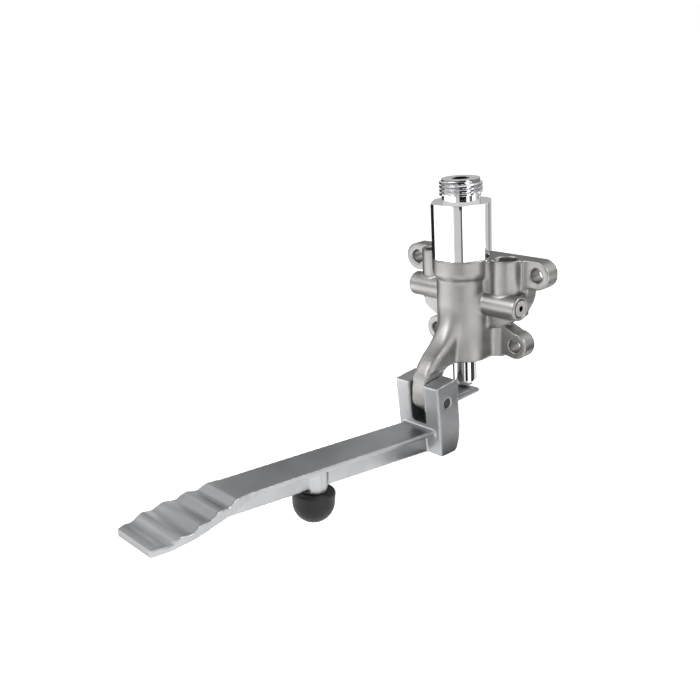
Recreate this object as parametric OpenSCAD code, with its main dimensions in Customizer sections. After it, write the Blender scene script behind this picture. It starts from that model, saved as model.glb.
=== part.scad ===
// Foot pedal tap valve for a wall: two water inlets and one outlet on top,
// opened by a pedal that lifts a pusher rod. All sizes are in millimetres.
// The origin is on the wall, midway between the two upper fixing holes.
// +X runs sideways, +Y into the wall and +Z up.

/* [Wall fixing] */
// Distance between the two upper fixing holes
upper_hole_spacing = 75; // [70:1:84]
// Distance between the two lower fixing holes
lower_hole_spacing = 50; // [46:1:58]
// Height of the upper fixing holes above the lower ones
hole_row_distance = 37.5; // [36:0.5:39]
// Diameter of the fixing holes
fixing_hole_d = 6.6; // [4.5:0.1:8]
// Thickness of the fixing ears
ear_t = 8; // [6:0.5:10]
// Outer radius of the upper ears
upper_ear_r = 7; // [6:0.5:8]
// Outer radius of the lower ears
lower_ear_r = 6.7; // [5.5:0.1:7.5]

/* [Body casting] */
// Distance from the wall to the valve axis
axis_to_wall = 16; // [15:0.5:19]
// Depth of the casting's underside below the upper holes
underside_depth = 44.5; // [43:0.5:48]
// Diameter of the collar under the barrel
collar_d = 29.5; // [28.5:0.5:33]
// Height of the collar above its rounded lower edge
collar_h = 6; // [5:0.2:8]
// Radius of the collar's rounded lower edge
collar_edge_r = 5.8; // [4:0.1:7]
// Diameter of the column just under the collar
column_d = 25.6; // [24:0.2:28]
// Diameter of the column at its foot
column_foot_d = 27; // [25:0.2:29]
// Distance from the wall to the front of the web between column and inlets
web_to_wall = 11; // [10:0.5:15]
// Fillet between the column and the plates behind it
column_fillet = 5; // [2:0.5:7]

/* [Water inlets] */
// Distance between the two inlets
inlet_spacing = 44; // [41:0.5:48]
// Distance from the wall to the inlets
inlet_to_wall = 9.9; // [9:0.1:12]
// Diameter of the inlet bosses
inlet_boss_d = 14.8; // [13.6:0.2:17]
// Core diameter of the inlet thread, 10.9 for M12 x 1
inlet_thread_d = 10.9; // [9.6:0.1:11.6]
// Depth of the inlet thread
inlet_thread_l = 10; // [8:0.5:10]
// Diameter of the check valve housing under the thread
check_d = 9.3; // [8.6:0.1:9.4]
// Length of the check valve housing
check_l = 6.1; // [5.5:0.1:6.2]
// Travel of the check poppets
check_travel = 1.5; // [0.8:0.1:1.6]
// Thickness of the inlet strainers
strainer_t = 0.8; // [0.5:0.1:1]

/* [Cross passages] */
// Distance from an inlet's axis to the end of its cross boss
cross_reach = 11.3; // [10.8:0.1:12.4]
// Distance from the wall to the cross passages
cross_to_wall = 13.6; // [12.5:0.1:15]
// Depth of the right cross passage below the upper holes
cross_depth = 15.2; // [14.5:0.1:15.8]
// Height of the left cross passage above the right one
cross_step = 3; // [0:0.1:3]
// Outer diameter of the cross bosses
cross_boss_d = 12.2; // [11.2:0.2:12.4]
// Bore of the cross bosses for a plug
cross_bore_d = 8.6; // [7.6:0.1:9]
// Bore of the cross passages up to the valve chamber
cross_port_d = 4.6; // [3:0.2:4.6]
// Width across flats of the hexagon socket in a plug
plug_socket_af = 2.6; // [2:0.1:4]

/* [Outlet barrel] */
// Width of the barrel across its flats
barrel_af = 28; // [27:0.5:29]
// Diameter to which the barrel's corners are turned
barrel_corner_d = 30.8; // [29.6:0.2:32]
// Height of the hexagonal barrel
barrel_h = 26.75; // [24:0.25:34]
// Angle at which the tightened barrel stands
barrel_turn = 3.3; // [0:0.1:59]
// Outer diameter of the outlet thread, 20.955 for G1/2
outlet_thread_d = 20.955; // [20:0.005:24]
// Length of the outlet thread
outlet_thread_l = 9.1; // [7:0.1:14]
// Diameter of the plain neck under the outlet thread
outlet_neck_d = 18.8; // [17:0.1:19.6]
// Length of the plain neck
outlet_neck_l = 1.9; // [1:0.1:4]
// Bore of the outlet
outlet_bore_d = 8; // [6:0.5:12]
// Diameter of the spigot that screws into the body
spigot_d = 22; // [21:0.1:22.6]
// Length of the spigot
spigot_l = 12.5; // [11:0.1:12.8]
// Bore of the barrel round the spring
barrel_bore_d = 17; // [16.4:0.2:18]
// Metal left above the spring
barrel_roof_t = 9.75; // [6:0.25:11]

/* [Valve and spring] */
// Bore of the valve chamber in the body
chamber_d = 14; // [12:0.5:15]
// Bore of the valve seat
seat_bore_d = 9; // [8:0.5:10]
// Diameter of the seat ring's flange
seat_flange_d = 21.8; // [20:0.1:21.9]
// Thickness of the seat ring's flange
seat_flange_t = 1.5; // [1:0.1:2]
// Diameter of the seat ring's lower part
seat_ring_d = 17.9; // [16.5:0.1:18.4]
// Height of the seat ring's lower part
seat_ring_h = 2.5; // [2:0.1:3]
// Height of the seat's lip
seat_lip_h = 0.9; // [0.6:0.1:1.2]
// Thickness of the fibre gasket under the seat ring
gasket_t = 0.8; // [0.5:0.1:1]
// Diameter of the rubber washer
washer_d = 14; // [12.6:0.2:15]
// Thickness of the rubber washer
washer_t = 2.5; // [2:0.1:3.5]
// Diameter of the stem
stem_d = 5; // [4:0.5:6]
// Thickness of the stem's head
head_t = 3; // [2:0.2:4]
// Diameter of the spring's wire
spring_wire = 1.4; // [1:0.1:1.6]
// Outer diameter of the spring
spring_d = 13.4; // [12.8:0.2:14.6]
// Number of the spring's turns
spring_turns = 6.5; // [5:0.5:8]

/* [Gland and pusher] */
// Diameter of the gland and of the guide bush
guide_d = 16; // [15.4:0.1:17]
// Height of the gland
gland_h = 8.5; // [8:0.1:9.5]
// Thickness of the O-rings
ring_t = 1.5; // [1.2:0.1:1.8]
// Diameter of the pusher
pusher_d = 12; // [10:0.5:12.5]
// Height of the pusher's top below the gland
pusher_play = 6; // [5.4:0.1:7]
// Radius of the pusher's lower edge
pusher_edge_r = 3.6; // [2:0.2:4.4]
// Gap between pusher and pedal at rest
pusher_gap = 0.15; // [0.12:0.01:0.3]
// Depth to which the stem sits in the pusher
stem_socket = 5; // [3:0.5:8]

/* [Hinge] */
// Distance from the wall to the hinge pin
pin_to_wall = 45.3; // [44:0.1:49]
// Depth of the hinge pin below the upper holes
pin_depth = 58.5; // [57:0.1:62]
// Diameter of the hinge pin
pin_d = 4.8; // [4:0.1:5]
// Depth of the pin's ends below the cheeks
pin_recess = 0.4; // [0.2:0.1:1]
// Thickness of the body's tongue
tongue_t = 8.6; // [7:0.1:9.4]
// Radius of the tongue's round end
tongue_r = 6.3; // [5.8:0.1:6.8]
// Outer diameter of the bush in the tongue
bush_d = 7; // [6.4:0.1:8]
// Radius of the concave front of the hinge arm
arm_front_r = 27; // [25:0.5:30]
// Radius of the convex front of the hinge arm
arm_nose_r = 22; // [20:0.5:24]
// Radius between the arm's back and the casting's underside
arm_back_r = 9; // [5:0.5:10]
// Width of the arm where it leaves the casting's underside
arm_root_w = 11; // [9:0.2:13]

/* [Pedal] */
// Width over the two cheeks
block_w = 26.7; // [24:0.1:30]
// Side play of the tongue in the slot
slot_play = 0.2; // [0.15:0.05:0.4]
// Height of the cheeks above the pin
block_above_pin = 10.2; // [9.6:0.1:11]
// Depth of the block below the pin
block_below_pin = 26.8; // [25:0.1:30]
// Lean of the block's front and top faces
block_lean = 3.9; // [2:0.1:5]
// Angle of the tab under the pusher at rest
tab_angle = 4.76; // [4:0.02:5.5]
// Width of the tab under the pusher
tab_w = 17.6; // [14:0.2:20]
// Distance that the tab runs past the valve axis
tab_overrun = 1; // [0:0.5:5]
// Depth of the tab's lower face below the pin
tab_bottom = 4.6; // [4:0.1:6]
// Rise of the pedal arm towards its tip
arm_rise = 6.78; // [4:0.02:8]
// Height of the arm's top below the pin, at the block
arm_below_pin = 13.45; // [13:0.05:15]
// Length of the flat arm in front of the block
arm_l = 113.2; // [90:0.2:140]
// Width of the arm's top plate
arm_w = 19.6; // [17:0.2:22]
// Thickness of the arm's top plate
plate_t = 2.4; // [2:0.1:3.5]
// Thickness of the web under the plate, at the block
web_root_t = 8; // [6:0.2:9]
// Thickness of the web under the plate, at the tread
web_tip_t = 6.2; // [5:0.2:7]
// Angle of the web's lower edge
web_rise = 7.7; // [7:0.1:8.6]

/* [Tread] */
// Length of the tread
tread_l = 46; // [40:1:56]
// Greatest width of the tread
tread_w = 28.8; // [26:0.2:36]
// Distance of the widest place from the tread's tip
tread_wide_at = 15; // [12:0.5:20]
// Width of the tread's tip
tread_tip_w = 23.6; // [22:0.2:24]
// Fall of the tread towards its tip
tread_fall = 4.7; // [3:0.1:6]
// Number of the tread's ripples
ripples = 4; // [3:1:5]
// Pitch of the tread's ripples
ripple_pitch = 9.8; // [7:0.2:10]
// Depth of the tread's ripples
ripple_depth = 1.2; // [0.6:0.1:1.6]
// Distance from the crease to the first crest
ripple_lead = 4.5; // [3:0.5:6]
// Thickness of the tread at its tip
tread_tip_t = 3.4; // [2.6:0.1:4]

/* [Bumper] */
// Distance from the wall to the bumper
bumper_to_wall = 121.7; // [100:0.1:135]
// Radius of the rubber dome
bumper_r = 9.6; // [8:0.2:11]
// Height of the bumper's straight rim
bumper_rim_h = 5.2; // [3:0.2:6]
// Length of the post that shows between web and bumper
post_show = 2.3; // [1.5:0.1:4]
// Diameter of the post
post_d = 12.3; // [9:0.1:14]
// Diameter of the bumper's stud
stud_d = 5; // [4:0.5:5]
// Length of the stud inside the post
stud_l = 8; // [5:0.5:9]

/* [Hidden] */
$fn = 96;
slip = 0.05;
seat = 0.02;
eps = 0.01;
wide = 200;

axis_y = -axis_to_wall;
top_z = upper_ear_r;
underside_z = -underside_depth;
wall_over = 5;

inlet_y = -inlet_to_wall;
check_top_z = top_z - inlet_thread_l - strainer_t;
check_bottom_z = check_top_z - check_l;
check_wall = 0.95;
check_seat_t = 1.2;
check_plate_t = 1;
check_disc_t = 0.9;
check_stem_d = 1.8;

cross_y = -cross_to_wall;
cross_z = -cross_depth;
cross_span = inlet_spacing + 2 * cross_reach;
wing_x = cross_span / 2 - 0.06 * cross_boss_d;
plug_gap = 0.25;
plug_l = cross_reach - check_d / 2 - plug_gap;
plug_groove_w = 1.2;
mouth_chamfer = 0.4;
collar_z = top_z - collar_h;
collar_edge_x = collar_d / 2 - collar_edge_r;
crease_low_z = collar_z - sqrt(pow(collar_edge_r, 2) - pow(column_d / 2 - collar_edge_x, 2));

spigot_z = top_z - spigot_l;
gasket_z = spigot_z - seat_flange_t - gasket_t;
seat_ledge_z = spigot_z - seat_flange_t - seat_ring_h;
barrel_top_z = top_z + barrel_h;
spring_top_z = barrel_top_z - barrel_roof_t;
outlet_top_z = barrel_top_z + outlet_neck_l + outlet_thread_l;
lip_z = spigot_z + seat_lip_h;
washer_z = lip_z + 2 * slip;
head_z = washer_z + washer_t;
head_top_z = head_z + head_t;

gland_top_z = cross_z - cross_port_d / 2 - 1;
gland_z = gland_top_z - gland_h;
guide_z = underside_z + 0.3;
wiper_h = 2;
wiper_d = pusher_d + 2;
pusher_top_z = gland_z - pusher_play;
pin_y = -pin_to_wall;
pin_z = -pin_depth;
reach = pin_to_wall - axis_to_wall;
tab_z = pin_z - reach * tan(tab_angle);
tip_z = tab_z + pusher_gap;
tip_dome_r = 12;

nose_y = pin_y - tongue_r + arm_nose_r;
nose_z = pin_z + 0.56 * tongue_r;
hollow_y = axis_y - column_foot_d / 2 - arm_front_r;
hollow_z = nose_z + sqrt(pow(arm_nose_r + arm_front_r, 2) - pow(nose_y - hollow_y, 2));
join_turn = acos((nose_y - hollow_y) / (arm_nose_r + arm_front_r));
root_fillet = 8;

slot_w = tongue_t + 2 * slot_play;
block_front = 7.7;
block_rear = 7.9;
block_front_y = pin_y - block_front;
block_rear_y = pin_y + block_rear;
block_top_z = pin_z + block_above_pin;
block_bottom_z = pin_z - block_below_pin;
tongue_clear = 0.9;
crest_rise = 0.5;
arm_inset = 1.5;
arm_root_y = block_front_y + arm_inset;
arm_root_z = pin_z - arm_below_pin;
crease_y = arm_root_y - arm_l;
crease_z = arm_root_z + arm_l * tan(arm_rise);
tread_tip_y = crease_y - tread_l;
web_root_z = block_bottom_z + 0.2;
bumper_y = -bumper_to_wall;

// Height of the web's lower edge at a distance y from the wall plane
function web_z(y) = web_root_z + (arm_root_y - y) * tan(web_rise);
// Height of the plate's top along the flat arm
function plate_z(y) = arm_root_z + (arm_root_y - y) * tan(arm_rise);
// Height of the line through the ripples' crests
function crest_z(y) = crease_z + crest_rise - (crease_y - ripple_lead - y) * tan(tread_fall);
// Depth of the ripples at a distance t past the first crest; it stays level after the last crest
function ripple(t) = t < ripples * ripple_pitch ? ripple_depth * (1 - cos(360 * t / ripple_pitch)) / 2 : 0;
// Height of the rippled tread
function tread_z(y) = crest_z(y) - ripple(crease_y - ripple_lead - y);
// Height of the tab's top, a plane through the pin
function tab_line(y) = pin_z - (y - pin_y) * tan(tab_angle);
// Height of the cross passage at one side, the left one being higher
function passage_z(side) = side < 0 ? cross_z + cross_step : cross_z;

bumper_top_z = web_z(bumper_y) - post_show;
dome_z = -bumper_rim_h;

// Places its children on the valve axis
module on_axis() translate([0, axis_y, 0]) children();
// Places its children at both sides, mirrored about the middle plane
module both_sides() for (side = [-1, 1]) scale([side, 1, 1]) children();
// Extrudes a side view, drawn as Y and Z, across the middle plane
module side_view(w) rotate([90, 0, 90]) linear_extrude(w, center = true) children();
// Extrudes a front view, drawn as X and Z, from the wall forwards
module front_view(t) rotate([90, 0, 0]) linear_extrude(t) children();
// A vertical round bar between two heights
module post(d, z0, z1) translate([0, 0, z0]) cylinder(d = d, h = z1 - z0);
// A vertical tube between two heights
module tube(d, bore, z0, z1) {
    difference() {
        post(d, z0, z1);
        post(bore, z0 - 1, z1 + 1);
    }
}
// Countersink of a bore whose mouth faces up at zero height
module mouth(bore) {
    translate([0, 0, -mouth_chamfer])
        cylinder(d1 = bore, d2 = bore + 2 * mouth_chamfer + 2 * eps, h = mouth_chamfer + eps);
}
// An O-ring that fits round a shaft of the given diameter
module o_ring(shaft_d, t) {
    rotate_extrude() translate([shaft_d / 2 + t / 2 + seat, 0]) circle(d = t, $fn = 24);
}
// A concave fillet in the corner of a left and a lower edge
module corner_fillet(r) {
    difference() {
        square(r);
        translate([r, r]) circle(r);
    }
}

// One unbroken coil with flat-ended runs, from its wire, mean radius, height and turns
module coil(wire, mean_r, h, turns, steps, sides) {
    rings = round(turns * steps);
    lift = 0.1;
    climb = h - wire - lift * 0.7;
    function level(t) = wire / 2 + climb * min(max((t * turns - 0.75) / (turns - 1.5), 0), 1);
    gap = climb / (turns - 1.5) - wire;
    echo(str("least gap between the coil's working turns: ", gap));
    points = [for (i = [0:rings], k = [0:sides - 1])
        let (t = i / rings, a = 360 * turns * t, b = 360 * k / sides, r = mean_r + wire / 2 * cos(b))
        [r * cos(a), r * sin(a), level(t) + lift * sin(180 * t) + wire / 2 * sin(b)]];
    skin = [for (i = [0:rings - 1], k = [0:sides - 1])
        let (n = (k + 1) % sides)
        [i * sides + k, (i + 1) * sides + k, (i + 1) * sides + n, i * sides + n]];
    start = [for (k = [0:sides - 1]) k];
    end = [for (k = [0:sides - 1]) rings * sides + sides - 1 - k];
    polyhedron(points, concat(skin, [start, end]), convexity = 10);
}

// Section through one half of the collar and the tapered column, drawn in by a small inset
module column_section(inset = 0) {
    polygon([[0, underside_z], [column_foot_d / 2 - inset, underside_z], [column_d / 2 - inset, crease_low_z + inset],
        [column_d / 2 - inset, collar_z], [collar_d / 2 - inset, collar_z], [collar_d / 2 - inset, top_z - mouth_chamfer],
        [collar_d / 2 - mouth_chamfer - inset, top_z], [0, top_z]]);
    translate([-inset, inset]) intersection() {
        translate([collar_edge_x, collar_z]) circle(collar_edge_r);
        translate([collar_edge_x, crease_low_z]) square([collar_edge_r, collar_z - crease_low_z + eps]);
    }
}

// Plan of the hinge arm's root with its fillets to the column
module root_plan() {
    r = root_fillet;
    half_w = arm_root_w / 2;
    foot_r = column_foot_d / 2 - 5 * slip;
    cx = half_w + r;
    cy = sqrt(pow(foot_r + r, 2) - pow(cx, 2));
    tip_x = foot_r * cx / (foot_r + r);
    tip_y = -foot_r * cy / (foot_r + r);
    translate([-half_w, -reach - tongue_r]) square([arm_root_w, reach + tongue_r]);
    difference() {
        polygon([[-half_w, -cy], [half_w, -cy], [tip_x, tip_y], [-tip_x, tip_y]]);
        for (side = [-1, 1]) translate([side * cx, -cy]) circle(r);
    }
}

// Side view of the hinge arm: a concave front, a convex nose and the round tongue
module arm_side() {
    front_y = pin_y - tongue_r;
    join_y = nose_y - arm_nose_r * cos(join_turn);
    join_z = nose_z + arm_nose_r * sin(join_turn);
    difference() {
        union() {
            translate([pin_y, pin_z]) circle(tongue_r);
            polygon([[pin_y + tongue_r, pin_z], [pin_y + tongue_r, underside_z], [axis_y, underside_z],
                [axis_y, hollow_z], [hollow_y + arm_front_r, hollow_z], [join_y, join_z], [front_y, nose_z], [front_y, pin_z]]);
            intersection() {
                translate([nose_y, nose_z]) circle(arm_nose_r, $fn = 180);
                polygon([[join_y, join_z], [front_y, nose_z], [front_y - 5, nose_z], [front_y - 5, join_z]]);
            }
        }
        translate([hollow_y, hollow_z]) circle(arm_front_r, $fn = 180);
    }
    translate([pin_y + tongue_r - eps, underside_z + eps]) scale([1, -1]) corner_fillet(arm_back_r);
}

// Plan of the plate behind the column's foot with its fillets
module foot_plan(fillet) {
    half_w = column_foot_d / 2 - 0.25;
    translate([-half_w - fillet, axis_to_wall - ear_t]) square([2 * (half_w + fillet), ear_t]);
    both_sides() translate([half_w, axis_to_wall - ear_t + eps]) scale([1, -1]) corner_fillet(fillet);
}

// Front view of the block that joins inlet, cross boss and wall at one side
module wing_front() {
    w = cross_boss_d;
    z = cross_z + w / 2;
    polygon([[0, z], [wing_x, z], [wing_x - 0.03 * w, z - 0.24 * w], [wing_x - 0.12 * w, z - 0.52 * w],
        [wing_x - 0.34 * w, z - 0.91 * w], [wing_x - 0.38 * w, z - 1.11 * w], [wing_x - 0.57 * w, z - 1.25 * w],
        [wing_x - 0.99 * w, z - 1.48 * w], [wing_x - 1.23 * w, z - 1.57 * w], [0, z - 1.57 * w]]);
}

// Front view of the upper ears with the bar between them
module upper_ears_front() {
    both_sides() {
        translate([upper_hole_spacing / 2, 0]) circle(upper_ear_r);
        translate([0, -upper_ear_r]) square([upper_hole_spacing / 2, 2 * upper_ear_r]);
        translate([0, cross_z + cross_boss_d / 2 - eps]) square([wing_x, upper_ear_r]);
    }
}

// Front view of the lower ears with their necks
module lower_ears_front() {
    r = lower_ear_r;
    both_sides() translate([lower_hole_spacing / 2, -hole_row_distance]) {
        circle(r);
        polygon([[0, -r], [0, r], [-0.75 * r, 1.33 * r], [-lower_hole_spacing / 2, 1.6 * r],
            [-lower_hole_spacing / 2, -0.97 * r], [-1.2 * r, -0.8 * r]]);
    }
}

// Solid of the body before it is drilled
module body_blank() {
    on_axis() rotate_extrude() column_section();
    side_view(tongue_t) arm_side();
    intersection() {
        on_axis() translate([0, 0, underside_z]) linear_extrude(hollow_z - underside_z) root_plan();
        side_view(column_foot_d) arm_side();
    }
    front_view(axis_to_wall) both_sides() column_section(2 * slip);
    on_axis() translate([0, 0, underside_z]) linear_extrude(underside_depth + cross_z - cross_boss_d) foot_plan(column_fillet);
    front_view(ear_t) upper_ears_front();
    front_view(ear_t) lower_ears_front();
    front_view(cross_to_wall) both_sides() wing_front();
    translate([-inlet_spacing / 2, -web_to_wall, cross_z]) cube([inlet_spacing, web_to_wall, top_z - cross_z]);
    for (side = [-1, 1]) scale([side, 1, 1]) translate([inlet_spacing / 2, inlet_y, 0]) {
        post(inlet_boss_d, passage_z(side), top_z);
        translate([0, 0, cross_z]) linear_extrude(top_z - cross_z) intersection() {
            translate([0, -inlet_boss_d / 2]) square([inlet_boss_d, inlet_boss_d / 2 + inlet_to_wall]);
            union() {
                translate([inlet_boss_d / 2 - 0.6, inlet_to_wall - ear_t]) scale([1, -1]) corner_fillet(2);
                square([inlet_boss_d / 2 - 0.4, inlet_to_wall]);
            }
        }
    }
    for (side = [-1, 1]) scale([side, 1, 1]) translate([0, cross_y, passage_z(side)]) rotate([0, 90, 0]) rotate_extrude() {
        square([cross_boss_d / 2 - 0.5, cross_span / 2]);
        square([cross_boss_d / 2, cross_span / 2 - 0.5]);
        translate([cross_boss_d / 2, sqrt(pow(column_d / 2, 2) - 9)]) corner_fillet(1.5);
    }
}

// Bores on the valve axis, from the barrel's thread down to the guide bush
module body_axis_bores() {
    on_axis() {
        post(spigot_d + 2 * ring_t + 4 * seat + 2 * slip, top_z - ring_t - 2 * seat, top_z + 1);
        post(spigot_d + 2 * slip, gasket_z, top_z + 1);
        post(seat_ring_d + 2 * slip, seat_ledge_z, top_z);
        post(chamber_d, gland_top_z, top_z);
        post(guide_d, underside_z - 1, gland_top_z);
    }
}

// Bores of one inlet: thread, check valve seat and passage down to the cross passage
module inlet_bores(side) {
    scale([side, 1, 1]) translate([inlet_spacing / 2, inlet_y, 0]) {
        post(inlet_thread_d, top_z - inlet_thread_l, top_z + 1);
        translate([0, 0, top_z]) mouth(inlet_thread_d);
        post(check_d + 2 * seat, check_bottom_z, top_z);
        post(0.6 * check_d, passage_z(side), top_z);
    }
}

// Bores of one cross passage: the drilling into the chamber and the wider bore for the plug
module cross_bores(side) {
    scale([side, 1, 1]) translate([0, cross_y, passage_z(side)]) rotate([0, 90, 0]) {
        translate([0, 0, cross_span / 2 - plug_l]) cylinder(d = cross_bore_d, h = cross_span);
        translate([0, 0, cross_span / 2]) mouth(cross_bore_d);
        cylinder(d = cross_port_d, h = cross_span / 2);
    }
}

module valve_body() color("#8c8a85") difference() {
    body_blank();
    body_axis_bores();
    for (side = [-1, 1]) {
        inlet_bores(side);
        cross_bores(side);
    }
    for (hole = [[upper_hole_spacing / 2, 0], [lower_hole_spacing / 2, -hole_row_distance]])
        both_sides() translate([hole[0], 0, hole[1]]) rotate([90, 0, 0])
            translate([0, 0, -1]) cylinder(d = fixing_hole_d, h = ear_t + wall_over);
    translate([0, pin_y, pin_z]) rotate([0, 90, 0]) cylinder(d = bush_d + 2 * seat, h = wide, center = true);
    translate([-wide, 0, -wide]) cube([2 * wide, wide, 2 * wide]);
}

module outlet_barrel() color("#dfe2e6") on_axis() difference() {
    union() {
        intersection() {
            translate([0, 0, top_z]) rotate(barrel_turn)
                cylinder(d = barrel_af / cos(30), h = barrel_h, $fn = 6);
            rotate_extrude() polygon([[0, top_z], [barrel_corner_d / 2 - 0.5, top_z], [barrel_corner_d / 2, top_z + 0.5],
                [barrel_corner_d / 2, barrel_top_z - 0.4], [barrel_corner_d / 2 - 0.5, barrel_top_z], [0, barrel_top_z]]);
        }
        post(outlet_neck_d, barrel_top_z - 1, outlet_top_z - 1);
        translate([0, 0, barrel_top_z + outlet_neck_l]) rotate_extrude()
            polygon([[0, 0], [outlet_neck_d / 2, 0], [outlet_thread_d / 2, 0.6], [outlet_thread_d / 2, outlet_thread_l - 0.8],
                [outlet_neck_d / 2 + 0.2, outlet_thread_l], [0, outlet_thread_l]]);
        post(spigot_d, spigot_z, top_z + 1);
    }
    post(barrel_bore_d, spigot_z - 1, spring_top_z);
    post(outlet_bore_d, spigot_z, outlet_top_z + 1);
    translate([0, 0, outlet_top_z]) mouth(outlet_bore_d);
}

module barrel_o_ring() color("#1c1c1e") on_axis()
    translate([0, 0, top_z - ring_t / 2 - seat]) o_ring(spigot_d, ring_t);

module seat_ring() color("#b08d45") on_axis() difference() {
    union() {
        post(seat_ring_d, seat_ledge_z, spigot_z - seat_flange_t + eps);
        post(seat_flange_d, spigot_z - seat_flange_t, spigot_z);
        translate([0, 0, spigot_z - eps]) cylinder(d1 = seat_bore_d + 3.6, d2 = seat_bore_d + 2.4, h = seat_lip_h + eps);
    }
    post(seat_bore_d, seat_ledge_z - 1, lip_z + 1);
}

module seat_gasket() color("#7a3b2a") on_axis()
    tube(seat_flange_d, seat_ring_d + 2 * seat, gasket_z, gasket_z + gasket_t);

module valve_stem() color("#c9c9c9") on_axis() {
    post(stem_d, pusher_top_z - stem_socket, head_z + eps);
    post(washer_d + 0.6, head_z, head_top_z);
    post(spring_d - 2 * spring_wire - 1, head_top_z - eps, head_top_z + 4);
}

module valve_washer() color("#2a2a2c") on_axis()
    tube(washer_d, stem_d + 2 * seat, washer_z, head_z);

module washer_nut() color("#b08d45") on_axis() difference() {
    translate([0, 0, washer_z - 2.2]) cylinder(d = seat_bore_d - 1.4, h = 2.2, $fn = 6);
    post(stem_d + 2 * seat, washer_z - 3, washer_z + 1);
}

module return_spring() color("#a8a8aa") on_axis() translate([0, 0, head_top_z])
    coil(spring_wire, (spring_d - spring_wire) / 2, spring_top_z - head_top_z, spring_turns, 18, 6);

module stem_gland() color("#b08d45") on_axis() difference() {
    post(guide_d - 2 * seat, gland_z, gland_top_z);
    post(stem_d + 2 * slip, gland_z - 1, gland_top_z + 1);
    for (f = [0.3, 0.7])
        translate([0, 0, gland_z + gland_h * f])
            post(stem_d + 2 * ring_t + 4 * seat, -ring_t / 2 - seat, ring_t / 2 + seat);
    translate([0, 0, gland_z + gland_h / 2])
        tube(guide_d + 2, guide_d - 2 * ring_t - 4 * seat, -ring_t / 2 - seat, ring_t / 2 + seat);
}

module stem_o_rings() color("#1c1c1e") on_axis()
    for (f = [0.3, 0.7]) translate([0, 0, gland_z + gland_h * f]) o_ring(stem_d, ring_t);

module gland_o_ring() color("#1c1c1e") on_axis()
    translate([0, 0, gland_z + gland_h / 2]) o_ring(guide_d - 2 * ring_t - 4 * seat, ring_t);

module guide_bush() color("#b08d45") on_axis() difference() {
    post(guide_d - 2 * seat, guide_z, gland_z);
    post(pusher_d + 2 * slip, guide_z - 1, gland_z + 1);
    post(wiper_d + 2 * seat, guide_z - 1, guide_z + wiper_h);
}

module pusher() color("#d8dadd") on_axis() difference() {
    r = pusher_d / 2;
    e = pusher_edge_r;
    rotate_extrude() intersection() {
        union() {
            translate([0, tip_z + e]) square([r, pusher_top_z - tip_z - e - 0.5]);
            translate([0, tip_z + e]) square([r - 0.5, pusher_top_z - tip_z - e]);
            translate([0, tip_z]) square([r - e, e + 1]);
            intersection() {
                translate([r - e, tip_z + e]) circle(e);
                translate([0, tip_z]) square([r, e + 1]);
            }
        }
        union() {
            translate([0, tip_z + tip_dome_r]) intersection() {
                circle(tip_dome_r);
                translate([0, -tip_dome_r]) square(tip_dome_r);
            }
            translate([0, tip_z + tip_dome_r / 2]) square([r, underside_depth]);
        }
    }
    post(stem_d + 2 * seat, pusher_top_z - stem_socket - seat, pusher_top_z + 1);
}

module pusher_wiper() color("#2a2a2c") on_axis()
    tube(wiper_d, pusher_d + 4 * slip, guide_z, guide_z + wiper_h);

// Housing of one check valve: seat on top, spider below
module check_housing() difference() {
    post(check_d, check_bottom_z, check_top_z);
    post(check_d - 2 * check_wall, check_bottom_z + check_plate_t, check_top_z - check_seat_t);
    post(5, check_top_z - check_seat_t - 1, check_top_z + 1);
    post(check_stem_d + 4 * slip, check_bottom_z - 1, check_bottom_z + check_plate_t + 1);
    for (a = [0:90:270]) rotate(a) translate([2.35, 0, 0])
        post(1.5, check_bottom_z - 1, check_bottom_z + check_plate_t + 1);
}

// Poppet of one check valve, closed against the seat
module check_poppet() {
    disc_z = check_top_z - check_seat_t - check_disc_t - slip;
    post(check_d - 2 * check_wall - 1, disc_z, disc_z + check_disc_t);
    translate([0, 0, disc_z + check_disc_t - eps]) cylinder(d1 = 4, d2 = 3, h = 0.7);
    post(check_stem_d, check_bottom_z + 0.2, disc_z + eps);
}

// Spring of one check valve, between the spider and the poppet's disc
module check_spring() {
    low_z = check_bottom_z + check_plate_t;
    high_z = check_top_z - check_seat_t - check_disc_t - slip;
    translate([0, 0, low_z]) coil(0.4, 1.6, high_z - low_z, 3.5, 12, 6);
}

// Places its children in the inlet at one side
module at_inlet(side) translate([side * inlet_spacing / 2, inlet_y, 0]) children();

module check_housing_left() color("#e3e0d8") at_inlet(-1) check_housing();
module check_housing_right() color("#e3e0d8") at_inlet(1) check_housing();
module check_poppet_left() color("#d9d6cc") at_inlet(-1) check_poppet();
module check_poppet_right() color("#d9d6cc") at_inlet(1) check_poppet();
module check_spring_left() color("#a8a8aa") at_inlet(-1) check_spring();
module check_spring_right() color("#a8a8aa") at_inlet(1) check_spring();

module inlet_strainers() color("#a8a8aa")
    for (side = [-1, 1]) at_inlet(side) difference() {
        post(check_d, check_top_z, check_top_z + strainer_t);
        post(1.4, check_top_z - 1, check_top_z + 2);
        for (a = [0:60:300]) rotate(a) translate([2.7, 0, 0])
            post(1.4, check_top_z - 1, check_top_z + 2);
    }

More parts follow.
